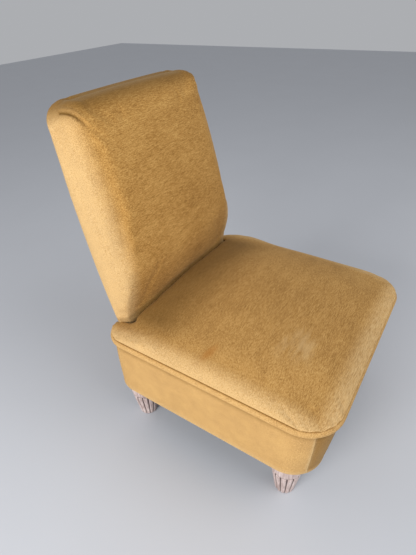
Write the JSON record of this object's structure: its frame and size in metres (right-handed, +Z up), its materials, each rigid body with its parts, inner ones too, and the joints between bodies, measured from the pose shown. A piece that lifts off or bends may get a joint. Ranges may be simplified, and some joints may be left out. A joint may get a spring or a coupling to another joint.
{
  "type": "cocktail chair",
  "caption": "Low armless upholstered lounge chair with a crowned sprung seat, a raked padded back and turned reeded wooden feet.",
  "frame": {"origin": "on the floor, under the middle of the chair's overall box", "axes": "+Z up, +X to the sitter's left, the seat's front faces -Y"},
  "size_m": [0.566, 0.67, 0.8095],
  "materials": {
    "velvet": "short-pile gold velvet",
    "beech": "planed beech, unfinished",
    "limed_wood": "limed, rubbed satin",
    "jute_webbing": "woven jute strap",
    "hessian": "coarse plain-weave hessian",
    "stuffing": "hair and fibre stuffing under wadding",
    "steel": "plain drawn steel",
    "twine": "laid hemp cord",
    "cambric": "black cotton dust cloth"
  },
  "bodies": {
    "root": {"apron_front": "velvet", "apron_left": "velvet", "apron_right": "velvet", "apron_rear": "velvet", "seat_lip": "velvet", "seat_top_cover": "velvet", "back_front_cover": "velvet", "back_outer_panel": "velvet", "seat_rail_front": "beech", "seat_rail_rear": "beech", "seat_rail_left": "beech", "seat_rail_right": "beech", "corner_block_front_left": "beech", "corner_block_front_right": "beech", "corner_block_rear_left": "beech", "corner_block_rear_right": "beech", "back_stile_left": "beech", "back_stile_right": "beech", "back_rail_top": "beech", "back_rail_lower": "beech", "foot_front_left": "limed_wood", "foot_front_right": "limed_wood", "foot_rear_left": "limed_wood", "foot_rear_right": "limed_wood", "seat_webbing_lengthwise": "jute_webbing", "seat_webbing_crosswise": "jute_webbing", "back_webbing_upright": "jute_webbing", "back_webbing_crosswise": "jute_webbing", "seat_hessian": "hessian", "back_hessian": "hessian", "back_lining": "hessian", "first_stuffing": "stuffing", "seat_pad": "stuffing", "back_pad": "stuffing", "apron_wadding": "stuffing", "seat_springs": "steel", "stile_screws": "steel", "spring_twine": "twine", "dust_cover": "cambric"}
  },
  "joints": []
}
